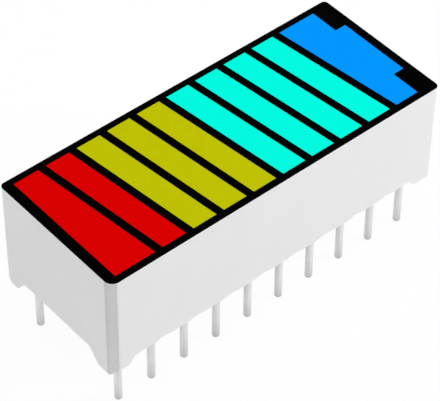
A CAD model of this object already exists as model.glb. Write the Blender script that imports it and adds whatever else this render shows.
"""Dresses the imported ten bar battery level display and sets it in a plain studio.

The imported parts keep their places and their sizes. This script gives each part the finish of
the real one, rounds the moulded edges of the case, tins the leads, draws the fillets that the
cast resin leaves round the leads and along the walls, and adds the floor, the lamps and the
camera.
"""

import logging
import math
from dataclasses import dataclass, field
from enum import Enum
from typing import Any

import bmesh
import bpy
from mathutils import Matrix, Vector

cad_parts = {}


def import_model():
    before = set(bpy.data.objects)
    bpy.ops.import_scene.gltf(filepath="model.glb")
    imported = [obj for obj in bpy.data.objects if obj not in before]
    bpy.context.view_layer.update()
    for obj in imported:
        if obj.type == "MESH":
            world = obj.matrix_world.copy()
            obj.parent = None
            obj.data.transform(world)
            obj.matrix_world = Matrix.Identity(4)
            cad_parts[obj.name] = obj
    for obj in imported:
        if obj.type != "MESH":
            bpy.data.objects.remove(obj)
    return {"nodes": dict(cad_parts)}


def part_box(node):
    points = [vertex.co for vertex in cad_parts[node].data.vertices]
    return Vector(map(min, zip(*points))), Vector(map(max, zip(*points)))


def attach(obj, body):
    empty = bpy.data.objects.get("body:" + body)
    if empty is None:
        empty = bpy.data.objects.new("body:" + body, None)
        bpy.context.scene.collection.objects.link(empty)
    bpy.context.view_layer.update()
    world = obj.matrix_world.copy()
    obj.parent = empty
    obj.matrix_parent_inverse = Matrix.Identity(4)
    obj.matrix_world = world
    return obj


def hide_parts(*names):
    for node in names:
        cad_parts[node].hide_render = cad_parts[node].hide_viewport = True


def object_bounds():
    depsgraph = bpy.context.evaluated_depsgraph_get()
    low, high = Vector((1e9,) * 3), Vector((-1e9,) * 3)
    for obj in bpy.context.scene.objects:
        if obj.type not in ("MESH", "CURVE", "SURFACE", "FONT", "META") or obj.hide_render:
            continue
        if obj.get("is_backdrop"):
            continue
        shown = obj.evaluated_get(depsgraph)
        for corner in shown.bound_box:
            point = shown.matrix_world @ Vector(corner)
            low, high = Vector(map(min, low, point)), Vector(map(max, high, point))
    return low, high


# One millimetre, in metres
MM = 0.001
# A wave texture of scale 1 turns through 20 radians a metre, and so repeats after this length.
WAVE_LENGTH = 2 * math.pi / 20
# The profile of a bevel whose section is round
ROUND_PROFILE = 0.5
# Rows of leads
ROWS = 2
# Nothing on the display moves, so that all of it rides on one body.
BODY = "root"

log = logging.getLogger("level_display")

# The points of one closed loop, in order
Loop = list[Vector]
NodeTree = bpy.types.NodeTree
NodeSocket = bpy.types.NodeSocket


def linear(colour: str) -> tuple[float, float, float, float]:
    """Turns an sRGB hex colour into the linear colour that shaders take, by the sRGB curve.

    Args:
        colour: The colour as "#rrggbb".

    Returns:
        Linear red, green and blue, and an alpha of 1.
    """
    parts = [int(colour[i:i + 2], 16) / 255 for i in (1, 3, 5)]
    red, green, blue = (
        c / 12.92 if c <= 0.04045 else ((c + 0.055) / 1.055) ** 2.4 for c in parts
    )
    return red, green, blue, 1.0


def per_metre(width_mm: float) -> float:
    """Returns the texture scale whose features are that many millimetres wide."""
    return 1 / (width_mm * MM)


def socket(sockets: Any, key: str | int) -> NodeSocket:
    """Finds a socket of a node.

    Args:
        sockets: The node's inputs or outputs.
        key: The socket's place, its identifier or its name.

    Returns:
        The socket.
    """
    if isinstance(key, int):
        return sockets[key]
    return next((s for s in sockets if s.identifier == key), None) or sockets[key]


def add_node(
    tree: NodeTree,
    kind: str,
    inputs: dict[str | int, Any] | None = None,
    **settings: Any,
) -> bpy.types.Node:
    """Adds one node with its settings, and fills or links its inputs.

    Args:
        tree: The shader or geometry tree.
        kind: Blender's type name of the node.
        inputs: For each input, a value or the output socket that feeds it.
        **settings: Properties of the node itself.

    Returns:
        The new node.
    """
    node = tree.nodes.new(kind)
    for name, value in settings.items():
        setattr(node, name, value)
    for key, value in (inputs or {}).items():
        target = socket(node.inputs, key)
        if isinstance(value, NodeSocket):
            tree.links.new(value, target)
        else:
            target.default_value = value
    return node


# Finishes


@dataclass(frozen=True)
class Finish:
    """A real material: its two near colours, how they cloud, its gloss and its fine relief.

    Attributes:
        name: Common name of the material and how its surface was made.
        colour: Main colour, sRGB.
        shade: Colour that the clouds lean to, sRGB.
        roughness: Mean roughness.
        uneven: How far the roughness strays from its mean.
        relief_mm: Width of one bump of the relief.
        depth_mm: Height of the relief.
        cloud_mm: Width of one cloud.
        metallic: 1 for a metal.
        specular: Strength of the reflection of a material that isn't a metal.
        ior: Index of refraction.
        cloud_detail: Layers of ever finer noise in the clouds.
        relief_detail: Layers of ever finer noise in the relief.
    """

    name: str
    colour: str
    shade: str
    roughness: float
    uneven: float
    relief_mm: float
    depth_mm: float
    cloud_mm: float = 1.0
    metallic: float = 0.0
    specular: float = 0.5
    ior: float = 1.5
    cloud_detail: float = 3.0
    relief_detail: float = 2.0

    def clouds(self, tree: NodeTree, place: NodeSocket) -> NodeSocket:
        """Draws where the finish leans to its second colour.

        Args:
            tree: The material's tree.
            place: Position on the piece, in metres.

        Returns:
            The clouds, about 0 to 1.
        """
        noise = add_node(tree, "ShaderNodeTexNoise", {
            "Vector": place, "Scale": per_metre(self.cloud_mm), "Detail": self.cloud_detail})
        return noise.outputs["Fac"]

    def relief(self, tree: NodeTree, place: NodeSocket) -> NodeSocket:
        """Draws how high the surface stands.

        Args:
            tree: The material's tree.
            place: Position on the piece, in metres.

        Returns:
            The height, about 0 to 1.
        """
        noise = add_node(tree, "ShaderNodeTexNoise", {
            "Vector": place, "Scale": per_metre(self.relief_mm), "Detail": self.relief_detail})
        return noise.outputs["Fac"]

    def tone(self, tree: NodeTree, place: NodeSocket, cloud: NodeSocket) -> NodeSocket:
        """Mixes the two colours by the clouds.

        Args:
            tree: The material's tree.
            place: Position on the piece, in metres.
            cloud: The clouds, about 0 to 1.

        Returns:
            The colour.
        """
        mixed = add_node(tree, "ShaderNodeMix", {
            "Factor_Float": cloud,
            "A_Color": linear(self.colour),
            "B_Color": linear(self.shade)}, data_type="RGBA")
        return socket(mixed.outputs, "Result_Color")

    def material(self) -> bpy.types.Material:
        """Builds the material once.

        Returns:
            The new material, or the one that is already built.
        """
        made = bpy.data.materials.get(self.name)
        if made:
            return made
        made = bpy.data.materials.new(self.name)
        made.use_nodes = True
        tree = made.node_tree
        tree.nodes.clear()
        place = add_node(tree, "ShaderNodeTexCoord").outputs["Object"]
        cloud = self.clouds(tree, place)
        gloss = add_node(tree, "ShaderNodeMapRange", {
            "Value": cloud,
            "To Min": self.roughness - self.uneven,
            "To Max": self.roughness + self.uneven})
        bump = add_node(tree, "ShaderNodeBump", {
            "Height": self.relief(tree, place), "Distance": self.depth_mm * MM})
        surface = add_node(tree, "ShaderNodeBsdfPrincipled", {
            "Base Color": self.tone(tree, place, cloud),
            "Roughness": gloss.outputs["Result"],
            "Normal": bump.outputs["Normal"],
            "Metallic": self.metallic,
            "Specular IOR Level": self.specular,
            "IOR": self.ior})
        add_node(tree, "ShaderNodeOutputMaterial", {"Surface": surface.outputs["BSDF"]})
        return made


@dataclass(frozen=True)
class ScreenInk(Finish):
    """Ink pressed through a woven screen, which leaves its mesh in the surface.

    Attributes:
        waver: How far a thread strays from its line, in radians of the wave that draws it.
    """

    waver: float = 0.6

    def relief(self, tree: NodeTree, place: NodeSocket) -> NodeSocket:
        """Crosses two sets of ridges, which lie one thread of the screen apart.

        Args:
            tree: The material's tree.
            place: Position on the piece, in metres.

        Returns:
            The height, about 0 to 1.
        """
        ridges = [
            add_node(tree, "ShaderNodeTexWave", {
                "Vector": place, "Scale": WAVE_LENGTH * per_metre(self.relief_mm),
                "Distortion": self.waver}, bands_direction=way).outputs["Fac"]
            for way in ("X", "Y")
        ]
        mesh = add_node(tree, "ShaderNodeMath", {0: ridges[0], 1: ridges[1]},
                        operation="MULTIPLY")
        return mesh.outputs["Value"]


@dataclass(frozen=True)
class GlassLaminate(ScreenInk):
    """Woven glass cloth in resin: the threads show as a faint check in the colour."""

    def clouds(self, tree: NodeTree, place: NodeSocket) -> NodeSocket:
        """Returns the weave, which takes the place of the clouds."""
        return self.relief(tree, place)


@dataclass(frozen=True)
class DrawnWire(Finish):
    """Wire pulled through a die: its streaks run along it, and its sheared end is dull.

    Attributes:
        stretch: How many times longer than wide a streak is.
        sheared: Colour of the sheared end, sRGB.
        end_mm: Height of the sheared end.
        bright_mm: Height above which the tin is whole.
        onset: How soon above the end the tin brightens: 1 is evenly, and less is sooner.
    """

    stretch: float = 12.0
    sheared: str = "#969694"
    end_mm: float = -3.88
    bright_mm: float = -2.0
    onset: float = 0.22

    def drawn(self, tree: NodeTree, place: NodeSocket) -> NodeSocket:
        """Stretches a pattern along the upright wire.

        Args:
            tree: The material's tree.
            place: Position on the piece, in metres.

        Returns:
            The position that the pattern is read at.
        """
        mapping = add_node(tree, "ShaderNodeMapping", {
            "Vector": place, "Scale": (1.0, 1.0, 1 / self.stretch)})
        return mapping.outputs["Vector"]

    def clouds(self, tree: NodeTree, place: NodeSocket) -> NodeSocket:
        """Returns the clouds, drawn out along the wire."""
        return super().clouds(tree, self.drawn(tree, place))

    def relief(self, tree: NodeTree, place: NodeSocket) -> NodeSocket:
        """Returns the height, drawn out along the wire."""
        return super().relief(tree, self.drawn(tree, place))

    def tone(self, tree: NodeTree, place: NodeSocket, cloud: NodeSocket) -> NodeSocket:
        """Darkens the wire towards its sheared end, where the tin is thin and dull.

        Args:
            tree: The material's tree.
            place: Position on the piece, in metres.
            cloud: The clouds, about 0 to 1.

        Returns:
            The colour.
        """
        height = add_node(tree, "ShaderNodeSeparateXYZ", {"Vector": place}).outputs["Z"]
        above = add_node(tree, "ShaderNodeMapRange", {
            "Value": height, "From Min": self.end_mm * MM, "From Max": self.bright_mm * MM})
        whole = add_node(tree, "ShaderNodeMath", {0: above.outputs["Result"], 1: self.onset},
                         operation="POWER")
        mixed = add_node(tree, "ShaderNodeMix", {
            "Factor_Float": whole.outputs["Value"],
            "A_Color": linear(self.sheared),
            "B_Color": super().tone(tree, place, cloud)}, data_type="RGBA")
        return socket(mixed.outputs, "Result_Color")


# Moulded ABS from a spark eroded mould: an even satin white, without a sharp highlight.
# The real grain is about 0.02 mm, drawn at 0.12 mm so that it shows.
MOULDED_ABS = Finish(
    "moulded_abs", "#ececec", "#e8e8e8", cloud_mm=2.5, roughness=0.45, uneven=0.05,
    relief_mm=0.12, depth_mm=0.0012, specular=0.25, ior=1.53)
# Screen printed epoxy ink: dead black, flat, with no highlight of its own.
# The threads of a screen are about 0.06 mm apart, drawn 0.15 mm apart.
PRINTED_INK = ScreenInk(
    "screen_printed_ink", "#020202", "#010101", cloud_mm=1.5, roughness=0.62, uneven=0.05,
    relief_mm=0.15, depth_mm=0.001, specular=0.005)
# Tin from a solder bath over drawn copper wire: pale and dull, so that it shades softly from
# its lit side to its dark side, with faint streaks along the lead. The marks of a die are
# about 0.01 mm wide, drawn at 0.1 mm.
TINNED_WIRE = DrawnWire(
    "tinned_copper_wire", "#ebebeb", "#dddddd", cloud_mm=0.16, roughness=0.68, uneven=0.06,
    relief_mm=0.1, depth_mm=0.0015, metallic=1.0)
# Solder that has set slowly: a satin skin, a little dull, with dimples about 0.15 mm wide.
SET_SOLDER = Finish(
    "set_solder", "#b9bbbf", "#a6a8ad", cloud_mm=0.3, roughness=0.3, uneven=0.08,
    relief_mm=0.15, depth_mm=0.004, metallic=1.0)
# Etched and gold flashed copper: warm metal with a fine etched grain, about 0.01 mm, drawn
# at 0.06 mm.
ETCHED_COPPER = Finish(
    "etched_copper", "#d9a05f", "#c88a4a", cloud_mm=0.25, roughness=0.32, uneven=0.06,
    relief_mm=0.06, depth_mm=0.001, metallic=1.0)
# Glass cloth in epoxy, uncoated: pale straw with the weave just showing. Threads 0.5 mm apart.
LAMINATE = GlassLaminate(
    "glass_cloth_laminate", "#d9d3b4", "#cbc49f", roughness=0.5, uneven=0.06,
    relief_mm=0.5, depth_mm=0.004, ior=1.55)
# Epoxy poured into the back of the case: milky, smooth, glossy where it set against air, with
# shallow waves about 1 mm long.
CAST_EPOXY = Finish(
    "cast_epoxy", "#dedbd0", "#d4d0c2", cloud_mm=3.0, roughness=0.22, uneven=0.06,
    relief_mm=0.9, depth_mm=0.006, ior=1.54)
# Gold wire, drawn: bright and warm. Its die marks are finer than the 0.03 mm drawn here.
GOLD_WIRE = Finish(
    "drawn_gold_wire", "#e6bd5c", "#d6aa48", cloud_mm=0.05, roughness=0.2, uneven=0.04,
    relief_mm=0.03, depth_mm=0.0003, metallic=1.0)
# Sawn and etched chip crystal: yellowish grey, a little glassy. Its saw marks are finer than
# the 0.03 mm drawn here.
CRYSTAL = Finish(
    "sawn_chip_crystal", "#bdb8a2", "#a8a389", cloud_mm=0.08, roughness=0.28, uneven=0.05,
    relief_mm=0.03, depth_mm=0.0006, ior=2.2)


class Tint(Enum):
    """The cast resin, from the empty end to the full end: its colour and its shade, sRGB."""

    RED = ("#dc0000", "#d60000")
    YELLOW = ("#c1c404", "#babc02")
    GREEN = ("#02fae0", "#02f6dc")
    BLUE = ("#0298ff", "#0292f8")


def cast_resin(tint: Tint) -> Finish:
    """Gives the diffused epoxy of one colour.

    A fine white powder in the tinted resin scatters the light, so that the bar looks solid and
    even from edge to edge, and a trace of the powder clouds its colour. Its grains are too
    fine to show, so the clouds and the relief are drawn wider.

    Args:
        tint: The colour of the resin.

    Returns:
        The finish.
    """
    colour, shade = tint.value
    return Finish(
        f"diffused_{tint.name.lower()}_resin", colour, shade, cloud_mm=0.8, roughness=0.5,
        uneven=0.06, relief_mm=0.25, depth_mm=0.0015, specular=0.005, ior=1.54)


# Meshes and repeats


def ring_loop(radius: float, height: float, sides: int) -> Loop:
    """Returns a level circle round Z, in metres, anticlockwise as seen from above."""
    turns = [2 * math.pi * i / sides for i in range(sides)]
    return [Vector((radius * math.cos(t), radius * math.sin(t), height)) for t in turns]


def oblong_loop(size: Vector, radius: float, height: float, steps: int) -> Loop:
    """Draws a level rectangle with round corners, anticlockwise as seen from above.

    Args:
        size: Length and width, in metres.
        radius: Radius of the corners, in metres.
        height: Its height, in metres.
        steps: How many straight steps draw one corner.

    Returns:
        The points of the loop.
    """
    points = []
    for quarter, (sx, sy) in enumerate(((1, 1), (-1, 1), (-1, -1), (1, -1))):
        middle = Vector((sx * (size.x / 2 - radius), sy * (size.y / 2 - radius), height))
        for step in range(steps + 1):
            turn = math.pi / 2 * (quarter + step / steps)
            points.append(middle + Vector((radius * math.cos(turn), radius * math.sin(turn), 0)))
    return points


def skin(name: str, loops: list[Loop], ring: bool, sharp: float) -> bpy.types.Mesh:
    """Joins level loops of the same number of points into a closed mesh.

    Args:
        name: Name of the mesh.
        loops: The loops, each joined to the next. On the outside of the form they go upwards.
        ring: True if the last loop joins the first, and False if both ends get a flat cap.
        sharp: Angle in degrees above which an edge stays crisp.

    Returns:
        The mesh, smooth between its crisp edges.
    """
    count = len(loops[0])
    points = [point for loop in loops for point in loop]
    joins = len(loops) if ring else len(loops) - 1
    faces = [
        (a * count + i, a * count + (i + 1) % count, b * count + (i + 1) % count, b * count + i)
        for a, b in ((j, (j + 1) % len(loops)) for j in range(joins))
        for i in range(count)
    ]
    if not ring:
        faces.append(tuple(reversed(range(count))))
        faces.append(tuple(range((len(loops) - 1) * count, len(loops) * count)))
    mesh = bpy.data.meshes.new(name)
    mesh.from_pydata(points, [], faces)
    mesh.update()
    mesh.shade_smooth()
    mesh.set_sharp_from_angle(angle=math.radians(sharp))
    return mesh


def add_piece(
    name: str, mesh: bpy.types.Mesh, finish: Finish, replaced: list[str]
) -> None:
    """Puts a finished mesh in the scene as a piece of the object.

    Args:
        name: Name of the piece.
        mesh: Its mesh, in place, in metres.
        finish: What it is made of.
        replaced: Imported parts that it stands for.
    """
    piece = bpy.data.objects.new(name, mesh)
    bpy.context.scene.collection.objects.link(piece)
    mesh.materials.clear()
    mesh.materials.append(finish.material())
    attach(piece, BODY)
    if replaced:
        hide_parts(*replaced)
    log.info("%s: %d faces, %s", name, len(mesh.polygons), finish.name)


def dress(nodes: dict[str, bpy.types.Object], names: list[str], finish: Finish) -> None:
    """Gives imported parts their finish.

    Args:
        nodes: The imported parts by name.
        names: Which of them to dress.
        finish: What they are made of.
    """
    for name in names:
        for slot in nodes[name].material_slots:
            slot.material = finish.material()
        log.info("%s: %s", name, finish.name)


@dataclass
class LeadGrid:
    """The two rows of places where the leads stand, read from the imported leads.

    Attributes:
        count: Leads in each row.
        pitch: Distance between neighbouring leads, in metres.
        row_gap: Distance between the rows, in metres.
        seed: Seed of the turn about its own axis that each copy gets.
    """

    count: int
    pitch: float
    row_gap: float
    seed: int = 4

    @classmethod
    def from_frame(cls, names: list[str]) -> "LeadGrid":
        """Measures the grid.

        Args:
            names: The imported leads, along one row and back along the other.

        Returns:
            The grid.
        """
        middles = [sum(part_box(name), Vector()) / 2 for name in names]
        pitch, row_gap = middles[1].x - middles[0].x, middles[-1].y - middles[0].y
        return cls(len(names) // ROWS, pitch, row_gap)

    def tree(self) -> NodeTree:
        """Builds the node tree that stands a copy of one mesh at each place.

        Returns:
            The tree, with an input for each size.
        """
        tree = bpy.data.node_groups.new("lead_grid", "GeometryNodeTree")
        tree.interface.new_socket("Geometry", in_out="OUTPUT", socket_type="NodeSocketGeometry")
        kinds = {"Shape": "Object", "Finish": "Material", "Per row": "Int", "Pitch": "Float",
                 "Row gap": "Float", "Seed": "Int"}
        for name, kind in kinds.items():
            tree.interface.new_socket(name, in_out="INPUT", socket_type=f"NodeSocket{kind}")
        given = add_node(tree, "NodeGroupInput").outputs
        gaps = add_node(tree, "ShaderNodeMath", {0: given["Per row"], 1: 1.0},
                        operation="SUBTRACT")
        run = add_node(tree, "ShaderNodeMath", {0: gaps.outputs[0], 1: given["Pitch"]},
                       operation="MULTIPLY")
        places = add_node(tree, "GeometryNodeMeshGrid", {
            "Size X": run.outputs[0], "Size Y": given["Row gap"],
            "Vertices X": given["Per row"], "Vertices Y": ROWS})
        # The sockets of this node that end in 001 are those for a plain number.
        turn = add_node(tree, "FunctionNodeRandomValue", {
            "Min_001": 0.0, "Max_001": 2 * math.pi, "Seed": given["Seed"]})
        facing = add_node(tree, "ShaderNodeCombineXYZ", {
            "Z": socket(turn.outputs, "Value_001")})
        shape = add_node(tree, "GeometryNodeObjectInfo", {"Object": given["Shape"]})
        copies = add_node(tree, "GeometryNodeInstanceOnPoints", {
            "Points": places.outputs["Mesh"], "Instance": shape.outputs["Geometry"],
            "Rotation": facing.outputs["Vector"]})
        solid = add_node(tree, "GeometryNodeRealizeInstances", {
            "Geometry": copies.outputs["Instances"]})
        finished = add_node(tree, "GeometryNodeSetMaterial", {
            "Geometry": solid.outputs["Geometry"], "Material": given["Finish"]})
        add_node(tree, "NodeGroupOutput", {"Geometry": finished.outputs["Geometry"]})
        return tree

    def repeat(self, name: str, shape: bpy.types.Mesh, finish: Finish) -> bpy.types.Mesh:
        """Stands a copy of one mesh at each place of the grid.

        Args:
            name: Name of the mesh that is made.
            shape: The mesh of one copy, round the Z axis.
            finish: What it is made of.

        Returns:
            One plain mesh of all the copies.
        """
        tree = self.tree()
        model = bpy.data.objects.new("one_" + name, shape)
        carrier = bpy.data.objects.new("all_" + name, bpy.data.meshes.new("all_" + name))
        bpy.context.scene.collection.objects.link(carrier)
        modifier = carrier.modifiers.new("lead_grid", "NODES")
        modifier.node_group = tree
        values = {"Shape": model, "Finish": finish.material(), "Per row": self.count,
                  "Pitch": self.pitch, "Row gap": self.row_gap, "Seed": self.seed}
        for item in tree.interface.items_tree:
            if item.in_out == "INPUT":
                modifier[item.identifier] = values[item.name]
        graph = bpy.context.evaluated_depsgraph_get()
        mesh = bpy.data.meshes.new_from_object(carrier.evaluated_get(graph), depsgraph=graph)
        mesh.name = name
        bpy.data.objects.remove(carrier)
        bpy.data.objects.remove(model)
        return mesh


# Sub-assemblies


@dataclass
class ReflectorCase:
    """The white moulded case, with its lower edges rounded as a mould leaves them.

    Attributes:
        edge_round_mm: Radius of the rounded edges.
        rounding_steps: Faces across one rounded edge.
        crisp_deg: Angle between faces above which an edge counts as one.
        merge_mm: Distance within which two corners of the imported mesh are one.
        flat_deg: Angle between faces below which they are one flat face.
        mark_r_mm: Radius of the upright corner that marks lead 1.
        wall_deg: Turn, from the end wall, up to which a face belongs to that wall.
        strip_deg: Turn of that corner, from the end wall, that looks like one flat strip.
        upright: Greatest rise of the normal of a face that counts as upright.
    """

    edge_round_mm: float = 0.06
    rounding_steps: int = 3
    crisp_deg: float = 25.0
    merge_mm: float = 0.001
    flat_deg: float = 0.2
    mark_r_mm: float = 0.6
    wall_deg: float = 1.0
    strip_deg: float = 74.0
    upright: float = 0.1

    def rounded_mesh(self, part: bpy.types.Object) -> bpy.types.Mesh:
        """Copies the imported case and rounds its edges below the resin.

        Args:
            part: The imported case.

        Returns:
            The rounded mesh.
        """
        shell = bmesh.new()
        shell.from_mesh(part.data)
        bmesh.ops.remove_doubles(shell, verts=shell.verts, dist=self.merge_mm * MM)
        bmesh.ops.dissolve_limit(shell, angle_limit=math.radians(self.flat_deg),
                                 verts=shell.verts, edges=shell.edges)
        resin_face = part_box("back_potting")[0].z
        edges = [
            edge for edge in shell.edges
            if len(edge.link_faces) == 2
            and max(vert.co.z for vert in edge.verts) < resin_face
            and math.degrees(edge.calc_face_angle()) > self.crisp_deg
        ]
        bmesh.ops.bevel(shell, geom=edges, offset=self.edge_round_mm * MM,
                        segments=self.rounding_steps, profile=ROUND_PROFILE, affect="EDGES",
                        clamp_overlap=True)
        mesh = bpy.data.meshes.new("case_shell")
        shell.to_mesh(mesh)
        shell.free()
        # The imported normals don't fit the rounded faces.
        if "custom_normal" in mesh.attributes:
            mesh.attributes.remove(mesh.attributes["custom_normal"])
        mesh.shade_smooth()
        mesh.set_sharp_from_angle(angle=math.radians(self.crisp_deg))
        mesh = self.with_flat_walls(mesh)
        self.flatten_mark(mesh)
        return mesh

    def with_flat_walls(self, mesh: bpy.types.Mesh) -> bpy.types.Mesh:
        """Weighs each normal by the area of its faces, so that the walls shade flat.

        Without it a wall borrows the turn of the narrow strips along its rounded edges.

        Args:
            mesh: The rounded case, with its crisp edges marked.

        Returns:
            A copy with its own normals, named as the one given, which is removed.
        """
        name = mesh.name
        carrier = bpy.data.objects.new("case_carrier", mesh)
        bpy.context.scene.collection.objects.link(carrier)
        weighted = carrier.modifiers.new("flat_walls", "WEIGHTED_NORMAL")
        weighted.mode = "FACE_AREA"
        weighted.keep_sharp = True
        graph = bpy.context.evaluated_depsgraph_get()
        flat = bpy.data.meshes.new_from_object(carrier.evaluated_get(graph), depsgraph=graph)
        bpy.data.objects.remove(carrier)
        bpy.data.meshes.remove(mesh)
        flat.name = name
        return flat

    def flatten_mark(self, mesh: bpy.types.Mesh) -> None:
        """Shades the rounded corner at lead 1 as one flat strip, as its mould insert left it.

        Only the normals change. The corner keeps its form.

        Args:
            mesh: The rounded case.
        """
        low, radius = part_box("reflector_case")[0], self.mark_r_mm * MM
        middle = Vector((low.x + radius, low.y + radius, 0))
        strip = Vector((-1, -1, 0)).normalized()
        normals = [corner.vector.copy() for corner in mesh.corner_normals]
        for face in mesh.polygons:
            outside = face.center.x <= middle.x and face.center.y <= middle.y
            turned = math.degrees(math.atan2(-face.normal.y, -face.normal.x))
            rounded = abs(face.normal.z) < self.upright and self.wall_deg < turned < self.strip_deg
            if outside and rounded:
                for loop in face.loop_indices:
                    normals[loop] = strip
        mesh.normals_split_custom_set(normals)

    def build(self, nodes: dict[str, bpy.types.Object]) -> None:
        """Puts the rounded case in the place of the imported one."""
        mesh = self.rounded_mesh(nodes["reflector_case"])
        add_piece("case_shell", mesh, MOULDED_ABS, ["reflector_case"])


@dataclass
class LitFace:
    """The printed face and the ten cast bars that show through it.

    Attributes:
        bars: Number of bars of each colour, in order.
    """

    bars: dict[Tint, int] = field(default_factory=lambda: {
        Tint.RED: 2, Tint.YELLOW: 3, Tint.GREEN: 4, Tint.BLUE: 1})

    def build(self, nodes: dict[str, bpy.types.Object]) -> None:
        """Dresses the ink and the bars.

        Args:
            nodes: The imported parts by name.
        """
        dress(nodes, ["face_mask"], PRINTED_INK)
        for tint, count in self.bars.items():
            stem = f"window_{tint.name.lower()}"
            names = [stem] if count == 1 else [f"{stem}_{i + 1}" for i in range(count)]
            dress(nodes, names, cast_resin(tint))


@dataclass
class Leads:
    """The tinned leads, in two rows.

    Attributes:
        bare_d_mm: Diameter where the board and the resin hold a lead.
        tip_round_mm: Rounding of the tip.
        tin_run_mm: Length over which the tin thins out at the seating plane.
        thin_at: Shares of that length, upwards, at which a loop draws it.
        tip_steps: Loops that draw the tip.
        sides: Sides of a lead.
        crisp_deg: Angle between faces above which their edge stays crisp.
    """

    bare_d_mm: float = 0.46
    tip_round_mm: float = 0.17
    tin_run_mm: float = 0.08
    thin_at: tuple[float, ...] = (0.0, 0.3, 0.6, 1.0)
    tip_steps: int = 6
    sides: int = 28
    crisp_deg: float = 35.0

    @property
    def bare_radius(self) -> float:
        """Radius of a lead in the board and the resin, in metres."""
        return self.bare_d_mm * MM / 2

    def profile(self, low: Vector, high: Vector) -> list[tuple[float, float]]:
        """Gives the radius of a lead at each height, from the tip up, in metres.

        Args:
            low: Lowest corner of a packed lead.
            high: Its highest corner.

        Returns:
            Pairs of radius and height.
        """
        radius, bare = (high.x - low.x) / 2, self.bare_radius
        tip, run = self.tip_round_mm * MM, self.tin_run_mm * MM
        arc = [math.pi / 2 * step / self.tip_steps for step in range(self.tip_steps + 1)]
        rise = [(radius - tip + tip * math.sin(a), low.z + tip * (1 - math.cos(a))) for a in arc]
        thin = [(bare + (radius - bare) * (1 - t) ** 2, -run * (1 - t)) for t in self.thin_at]
        return rise + thin + [(bare, high.z)]

    def build(self, grid: LeadGrid, names: list[str]) -> None:
        """Stands the leads in their places.

        Args:
            grid: The places.
            names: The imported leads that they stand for.
        """
        profile = self.profile(*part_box(names[0]))
        loops = [ring_loop(radius, height, self.sides) for radius, height in profile]
        lead = skin("lead", loops, ring=False, sharp=self.crisp_deg)
        mesh = grid.repeat("lead_rows", lead, TINNED_WIRE)
        add_piece("lead_rows", mesh, TINNED_WIRE, names)


@dataclass
class ChipBoard:
    """What is inside: the board with its copper, the chips, their wires and the solder.

    Attributes:
        chips: Number of chips, each with a wire of its own.
    """

    chips: int = 10

    def build(self, nodes: dict[str, bpy.types.Object]) -> None:
        """Dresses the parts of the board.

        Args:
            nodes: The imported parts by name.
        """
        numbers = [f"{i + 1:02d}" for i in range(self.chips)]
        dress(nodes, ["circuit_board"], LAMINATE)
        dress(nodes, ["anode_tracks", "cathode_tracks"], ETCHED_COPPER)
        dress(nodes, ["solder_joints"], SET_SOLDER)
        dress(nodes, [f"led_die_{n}" for n in numbers], CRYSTAL)
        dress(nodes, [f"bond_wire_{n}" for n in numbers], GOLD_WIRE)


@dataclass
class BackResin:
    """The resin in the open back, drawn up at the walls and along each lead as it set.

    Attributes:
        lead_fillet_mm: Reach of the fillet round a lead.
        wall_fillet_mm: Reach of the fillet along the walls.
        corner_r_mm: Radius of the corners of the opening.
        corner_steps: Straight steps that draw one of those corners.
        steps: Straight steps that draw the hollow of a fillet.
        lap_mm: How far a fillet runs into what it joins, so that no gap shows.
        crisp_deg: Angle between faces above which their edge stays crisp.
    """

    lead_fillet_mm: float = 0.28
    wall_fillet_mm: float = 0.14
    corner_r_mm: float = 0.5
    corner_steps: int = 8
    steps: int = 7
    lap_mm: float = 0.01
    crisp_deg: float = 50.0

    def section(self, reach: float) -> list[tuple[float, float]]:
        """Gives the hollow section of a fillet.

        Args:
            reach: Reach of the fillet, in metres.

        Returns:
            Pairs of distance from the wall and depth below the resin's face, in metres.
        """
        lap = self.lap_mm * MM
        arc = [math.pi / 2 * step / self.steps for step in range(self.steps + 1)]
        hollow = [(reach * (1 - math.cos(a)), reach * (1 - math.sin(a))) for a in arc]
        return [(-lap, reach), *hollow, (reach, -lap), (-lap, -lap)]

    def build(self, nodes: dict[str, bpy.types.Object], grid: LeadGrid, leads: Leads) -> None:
        """Dresses the resin and adds its fillets.

        Args:
            nodes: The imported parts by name.
            grid: The places of the leads.
            leads: The leads that the resin holds.
        """
        dress(nodes, ["back_potting"], CAST_EPOXY)
        low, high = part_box("back_potting")
        around = [
            ring_loop(leads.bare_radius + out, low.z - down, leads.sides)
            for out, down in self.section(self.lead_fillet_mm * MM)
        ]
        fillet = skin("lead_fillet", around, ring=True, sharp=self.crisp_deg)
        mesh = grid.repeat("lead_fillets", fillet, CAST_EPOXY)
        add_piece("lead_fillets", mesh, CAST_EPOXY, [])
        size, radius = high - low, self.corner_r_mm * MM
        inside = [
            oblong_loop(size - Vector((2 * out, 2 * out, 0)), radius - out, low.z - down,
                        self.corner_steps)
            for out, down in reversed(self.section(self.wall_fillet_mm * MM))
        ]
        wall_fillet = skin("wall_fillet", inside, ring=True, sharp=self.crisp_deg)
        add_piece("wall_fillet", wall_fillet, CAST_EPOXY, [])


# Studio


def from_target(azimuth: float, elevation: float) -> Vector:
    """Finds the direction from a target to a viewer.

    Args:
        azimuth: Where the viewer stands, in degrees.
        elevation: How high the viewer stands, in degrees.

    Returns:
        The unit vector.
    """
    turn, rise = math.radians(azimuth), math.radians(elevation)
    return Vector((math.sin(turn) * math.cos(rise), -math.cos(turn) * math.cos(rise),
                   math.sin(rise)))


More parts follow.
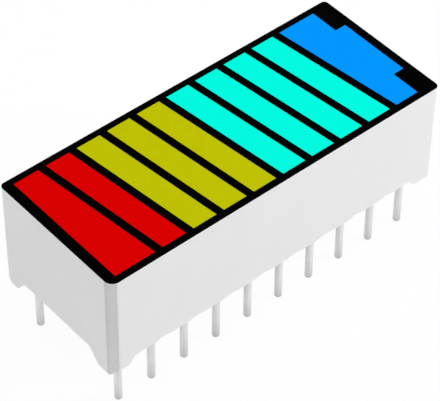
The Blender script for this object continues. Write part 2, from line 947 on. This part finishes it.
@dataclass
class SoftLight:
    """A large soft lamp.

    Attributes:
        name: Name of the lamp.
        azimuth: Where it stands, in degrees.
        elevation: How high it stands, in degrees.
        distance: Its distance from the aim, in metres.
        side: Side of its square face, in metres.
        level: Brightness that it gives to a white surface that faces it.
        colour: Its colour, sRGB.
        aim: Point that it faces, in metres.
    """

    name: str
    azimuth: float
    elevation: float
    distance: float
    side: float
    level: float
    colour: str
    aim: Vector

    def build(self) -> None:
        """Adds the lamp."""
        lamp = bpy.data.lights.new(self.name, "AREA")
        lamp.size = self.side
        # A flat lamp of P watts gives a level of P / (pi * distance) ** 2.
        lamp.energy = self.level * math.pi ** 2 * self.distance ** 2
        lamp.color = linear(self.colour)[:3]
        stand = bpy.data.objects.new(self.name, lamp)
        towards = from_target(self.azimuth, self.elevation)
        stand.location = self.aim + towards * self.distance
        stand.rotation_mode = "QUATERNION"
        stand.rotation_quaternion = towards.to_track_quat("Z", "Y")
        bpy.context.scene.collection.objects.link(stand)
        log.info("%s: %.3f W", self.name, lamp.energy)


@dataclass
class Studio:
    """A pale floor that fades to white, an even sky and three soft lamps.

    Attributes:
        floor_side: Side of the floor, in metres.
        floor_colour: Colour of the floor, sRGB.
        floor_glow: Share of the floor's white that the object can't shade.
        sky_level: Brightness of the sky on the object.
        white: Colour of the sky, sRGB.
    """

    floor_side: float = 4.0
    floor_colour: str = "#fafafa"
    floor_glow: float = 0.94
    sky_level: float = 0.38
    white: str = "#ffffff"

    def white_to_camera(self, tree: NodeTree, camera_share: float) -> NodeSocket:
        """Finds where a ray sees the plain white of the background.

        Args:
            tree: The tree of the floor or of the sky.
            camera_share: How much of it the camera sees.

        Returns:
            The share of white: camera_share for the camera, and 1 for reflections and glass.
        """
        ray = add_node(tree, "ShaderNodeLightPath").outputs
        seen = add_node(tree, "ShaderNodeMath", {0: ray["Is Camera Ray"], 1: camera_share},
                        operation="MULTIPLY")
        mirrored = add_node(tree, "ShaderNodeMath", {
            0: ray["Is Glossy Ray"], 1: ray["Is Transmission Ray"]}, operation="MAXIMUM")
        share = add_node(tree, "ShaderNodeMath", {
            0: seen.outputs["Value"], 1: mirrored.outputs["Value"]}, operation="MAXIMUM")
        return share.outputs["Value"]

    def build_floor(self, height: float) -> None:
        """Lays the floor.

        Args:
            height: Its height, in metres.
        """
        half = self.floor_side / 2
        mesh = bpy.data.meshes.new("floor")
        corners = [(-half, -half, height), (half, -half, height),
                   (half, half, height), (-half, half, height)]
        mesh.from_pydata(corners, [], [(0, 1, 2, 3)])
        paper = bpy.data.materials.new("studio_paper")
        paper.use_nodes = True
        tree = paper.node_tree
        tree.nodes.clear()
        matt = add_node(tree, "ShaderNodeBsdfDiffuse", {"Color": linear(self.floor_colour)})
        # A strength of 1 renders as plain white.
        glow = add_node(tree, "ShaderNodeEmission", {"Strength": 1.0})
        surface = add_node(tree, "ShaderNodeMixShader", {
            0: self.white_to_camera(tree, camera_share=self.floor_glow),
            1: matt.outputs["BSDF"], 2: glow.outputs["Emission"]})
        add_node(tree, "ShaderNodeOutputMaterial", {"Surface": surface.outputs["Shader"]})
        mesh.materials.append(paper)
        floor = bpy.data.objects.new("floor", mesh)
        bpy.context.scene.collection.objects.link(floor)
        floor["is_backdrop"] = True

    def build_sky(self) -> None:
        """Sets the even sky, plain white where it is seen."""
        world = bpy.data.worlds.new("studio_sky")
        world.use_nodes = True
        tree = world.node_tree
        tree.nodes.clear()
        sky, seen = (
            add_node(tree, "ShaderNodeBackground", {
                "Color": linear(self.white), "Strength": strength})
            for strength in (self.sky_level, 1.0)
        )
        surface = add_node(tree, "ShaderNodeMixShader", {
            0: self.white_to_camera(tree, camera_share=1.0),
            1: sky.outputs["Background"], 2: seen.outputs["Background"]})
        add_node(tree, "ShaderNodeOutputWorld", {"Surface": surface.outputs["Shader"]})
        bpy.context.scene.world = world

    def build(self, floor_height: float, middle: Vector) -> None:
        """Builds the floor, the sky and the lamps.

        Args:
            floor_height: Height of the floor, in metres.
            middle: Middle of the object, in metres.
        """
        self.build_floor(floor_height)
        self.build_sky()
        lamps = (
            SoftLight("side_lamp", azimuth=50, elevation=30, distance=0.22, side=0.05,
                      level=0.52, colour="#fdfdff", aim=middle),
            SoftLight("end_lamp", azimuth=-157, elevation=20, distance=0.3, side=0.04,
                      level=0.38, colour="#ffffff", aim=middle),
            SoftLight("top_lamp", azimuth=0, elevation=90, distance=0.4, side=0.25,
                      level=0.28, colour="#ffffff", aim=middle),
        )
        for lamp in lamps:
            lamp.build()
        bpy.context.scene.view_settings.view_transform = "Standard"


@dataclass
class PhotoCamera:
    """The camera of the photograph, worked out from the corners of the case.

    Attributes:
        azimuth: Direction that it looks from, in degrees.
        elevation: Height that it looks from, in degrees.
        roll: How far it is turned about its own axis, in degrees.
        distance_mm: Its distance from the target.
        target_mm: Point in the middle of the picture.
        lens_mm: Focal length.
        sensor_mm: Width of the sensor.
        clip: Nearest and farthest distance that it sees, in metres.
    """

    azimuth: float = -41.05
    elevation: float = 45.75
    roll: float = 0.75
    distance_mm: float = 135.6
    target_mm: tuple[float, float, float] = (-0.55, -0.3, 3.0)
    lens_mm: float = 183.5
    sensor_mm: float = 36.0
    clip: tuple[float, float] = (0.01, 10.0)

    def build(self) -> None:
        """Adds the camera and makes it the scene's."""
        view = bpy.data.cameras.new("photo_camera")
        view.lens = self.lens_mm
        view.sensor_width = self.sensor_mm
        view.clip_start, view.clip_end = self.clip
        back = from_target(self.azimuth, self.elevation)
        level = Vector((0, 0, 1)).cross(back).normalized()
        right = Matrix.Rotation(math.radians(self.roll), 3, back) @ level
        up = back.cross(right)
        place = Matrix((right, up, back)).transposed().to_4x4()
        place.translation = (Vector(self.target_mm) + back * self.distance_mm) * MM
        camera = bpy.data.objects.new("photo_camera", view)
        camera.matrix_world = place
        bpy.context.scene.collection.objects.link(camera)
        bpy.context.scene.camera = camera


def main() -> None:
    """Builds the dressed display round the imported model."""
    logging.basicConfig(level=logging.INFO, format="%(name)s %(message)s")
    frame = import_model()
    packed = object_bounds()
    nodes = frame["nodes"]
    lead_names = sorted(name for name in nodes if name.startswith("pin_"))
    grid = LeadGrid.from_frame(lead_names)
    leads = Leads()
    ReflectorCase().build(nodes)
    LitFace().build(nodes)
    leads.build(grid, lead_names)
    ChipBoard().build(nodes)
    BackResin().build(nodes, grid, leads)
    Studio().build(packed[0].z, (packed[0] + packed[1]) / 2)
    PhotoCamera().build()


if __name__ == "__main__":
    main()
